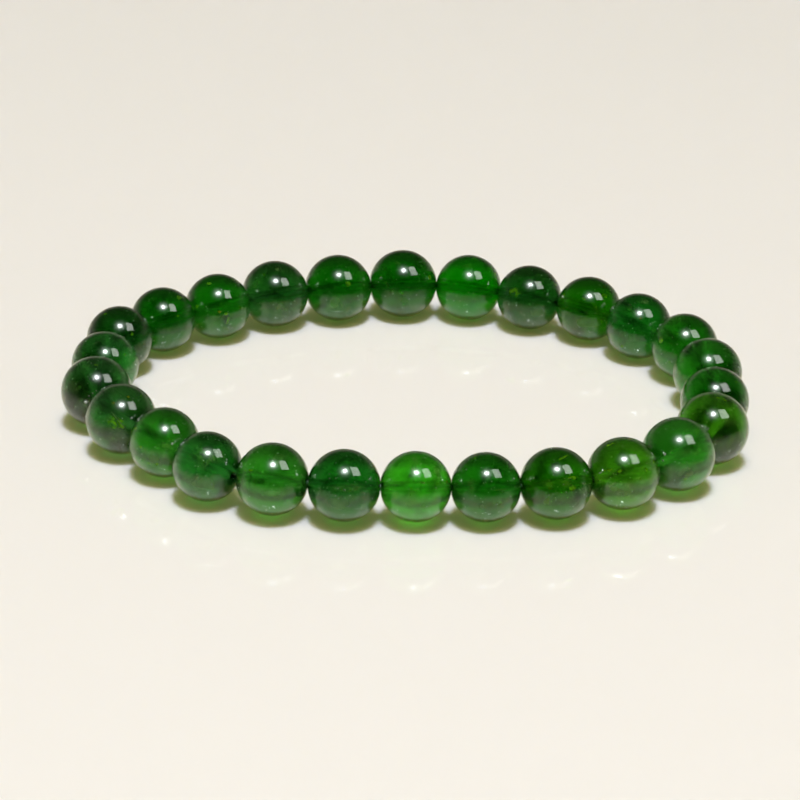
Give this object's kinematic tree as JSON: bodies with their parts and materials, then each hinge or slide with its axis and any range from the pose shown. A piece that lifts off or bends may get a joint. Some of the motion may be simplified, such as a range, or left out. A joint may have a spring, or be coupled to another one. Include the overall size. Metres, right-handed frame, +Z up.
{
  "type": "chrome diopside bead bracelet",
  "caption": "Closed elastic bracelet of round, polished, see-through green chrome diopside beads, lying flat as an oval ring.",
  "frame": {"origin": "on the table plane, under the middle of the bracelet's outline", "axes": "+Z up from the table, +X along the oval's long way to the right, the front row of beads towards -Y"},
  "size_m": [0.0742, 0.062, 0.0078],
  "materials": {
    "diopside_bright": "polished transparent stone, vivid green",
    "diopside_leaf": "polished transparent stone, leaf green",
    "diopside_olive": "polished transparent stone, yellowish green",
    "diopside_bluish": "polished transparent stone, bluish green",
    "diopside_deep": "polished transparent stone, very deep green",
    "clear_elastic": "clear stretch cord"
  },
  "bodies": {
    "root": {"bead_01": "diopside_deep", "bead_02": "diopside_deep", "bead_03": "diopside_bright", "bead_04": "diopside_bluish", "bead_05": "diopside_bright", "bead_06": "diopside_bluish", "bead_07": "diopside_bright", "bead_08": "diopside_bright", "bead_09": "diopside_olive", "bead_10": "diopside_olive", "bead_11": "diopside_leaf", "bead_12": "diopside_olive", "bead_13": "diopside_leaf", "bead_14": "diopside_leaf", "bead_15": "diopside_leaf", "bead_16": "diopside_bluish", "bead_17": "diopside_olive", "bead_18": "diopside_deep", "bead_19": "diopside_bright", "bead_20": "diopside_leaf", "bead_21": "diopside_leaf", "bead_22": "diopside_deep", "bead_23": "diopside_leaf", "bead_24": "diopside_leaf", "bead_25": "diopside_deep", "bead_26": "diopside_bluish", "elastic_cord": "clear_elastic"}
  },
  "joints": []
}
